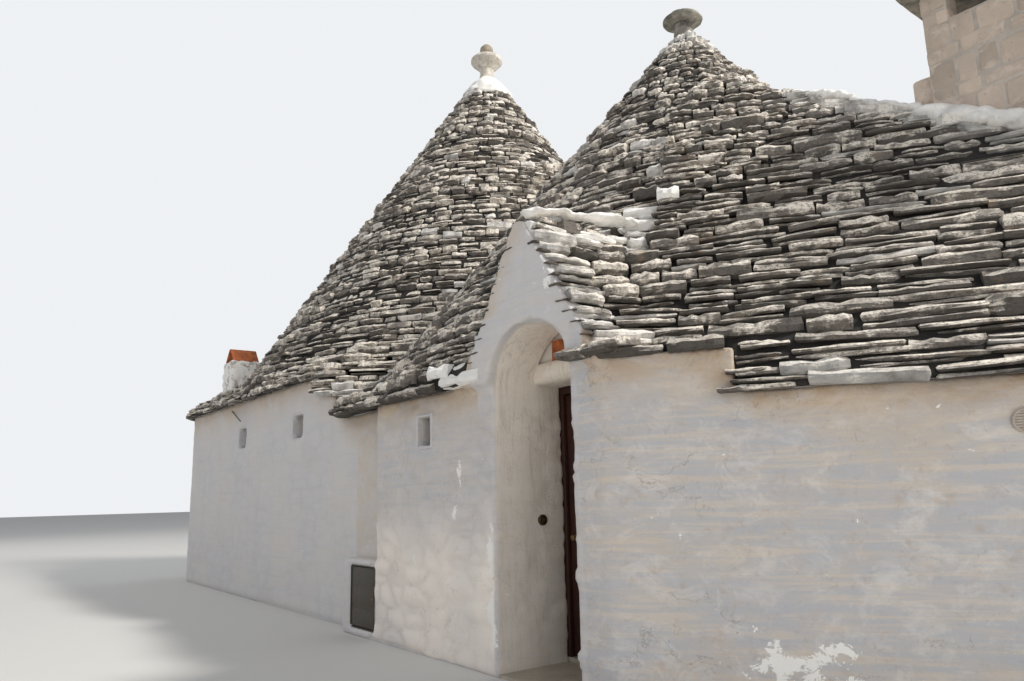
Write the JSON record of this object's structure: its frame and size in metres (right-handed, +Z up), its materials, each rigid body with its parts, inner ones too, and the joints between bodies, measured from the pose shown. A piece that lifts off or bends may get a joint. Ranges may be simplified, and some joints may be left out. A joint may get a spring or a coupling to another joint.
{
  "type": "trullo house",
  "caption": "Small dry-stone trullo house with cones of stone slabs over whitewashed walls, a gabled arched entrance niche, a low angled wing and chimneys",
  "frame": {"origin": "At ground level in the middle of the doorway, on the plane of the middle front wall, which is also a point of the flat footing.", "axes": "+X runs along the front to the right of someone who faces the door, +Y goes into the house, +Z is up."},
  "size_m": [14.4492, 8.15, 9.129],
  "materials": {
    "limewash": "matt uneven limewash over rough stone, in cream and lilac greys with bright white flakes",
    "roof_slabs": "split grey limestone slabs with pale worn tops and dark gaps",
    "dome_stone": "rough corbelled limestone",
    "floor_stone": "worn limestone paving",
    "tuff": "tan irregular soft stone blocks with pale mortar",
    "pinnacle_stone": "weathered limed limestone",
    "terracotta": "rust orange fired clay, matt",
    "door_wood": "very dark brown stained planks, worn",
    "window_wood": "pale grey painted wood",
    "glass": "thin clear glass, dusty",
    "brass": "tarnished",
    "iron": "rusted dark iron",
    "cabinet_metal": "dark grey-green paint, faded",
    "grille": "matt off-white"
  },
  "bodies": {
    "house": {"left_front_wall": "limewash", "left_end_wall": "limewash", "left_back_wall": "limewash", "cross_wall": "limewash", "mid_front_wall": "limewash", "window_bands": "limewash", "front_wall_tops": "limewash", "right_jamb": "limewash", "right_side_wall": "limewash", "side_way_arch": "limewash", "right_back_wall": "limewash", "wing_front_wall": "limewash", "wing_end_wall": "limewash", "left_floor": "floor_stone", "right_floor": "floor_stone", "wing_floor": "floor_stone", "threshold": "floor_stone", "gable_wall": "limewash", "lintel": "limewash", "tympanum": "limewash", "left_dome": "dome_stone", "left_dome_sides": "dome_stone", "left_dome_top": "dome_stone", "left_cone": "roof_slabs", "left_skirt": "roof_slabs", "left_cap": "limewash", "left_pinnacle": "pinnacle_stone", "left_ball": "pinnacle_stone", "right_dome": "dome_stone", "right_cone": "roof_slabs", "right_skirt": "roof_slabs", "right_stem": "roof_slabs", "right_disc": "roof_slabs", "gable_roof": "roof_slabs", "gable_saddle": "limewash", "wing_roof": "roof_slabs", "chimney_stack": "tuff", "chimney_piers": "tuff", "chimney_cap": "roof_slabs", "small_chimney": "limewash", "small_chimney_tiles": "terracotta", "window_frames": "window_wood", "window_panes": "glass", "door_frame": "door_wood", "door_hinges": "iron", "meter_block": "limewash", "meter_box": "cabinet_metal", "vent_grille": "grille", "bell_push": "brass", "number_tiles": "terracotta", "eave_rod": "iron"},
    "door": {"door_leaf": "door_wood", "door_handle": "brass"},
    "meter_door": {"meter_door": "cabinet_metal"}
  },
  "joints": [
    {"name": "door_hinge", "type": "hinge", "parent": "house", "child": "door", "pos_m": [0.404, 0.712, 1], "axis": [0, 0, -1], "range_deg": [0, 95]},
    {"name": "meter_hinge", "type": "hinge", "parent": "house", "child": "meter_door", "pos_m": [-2.77, 0.008, 0.34], "axis": [0, 0, -1], "range_deg": [0, 100]}
  ]
}
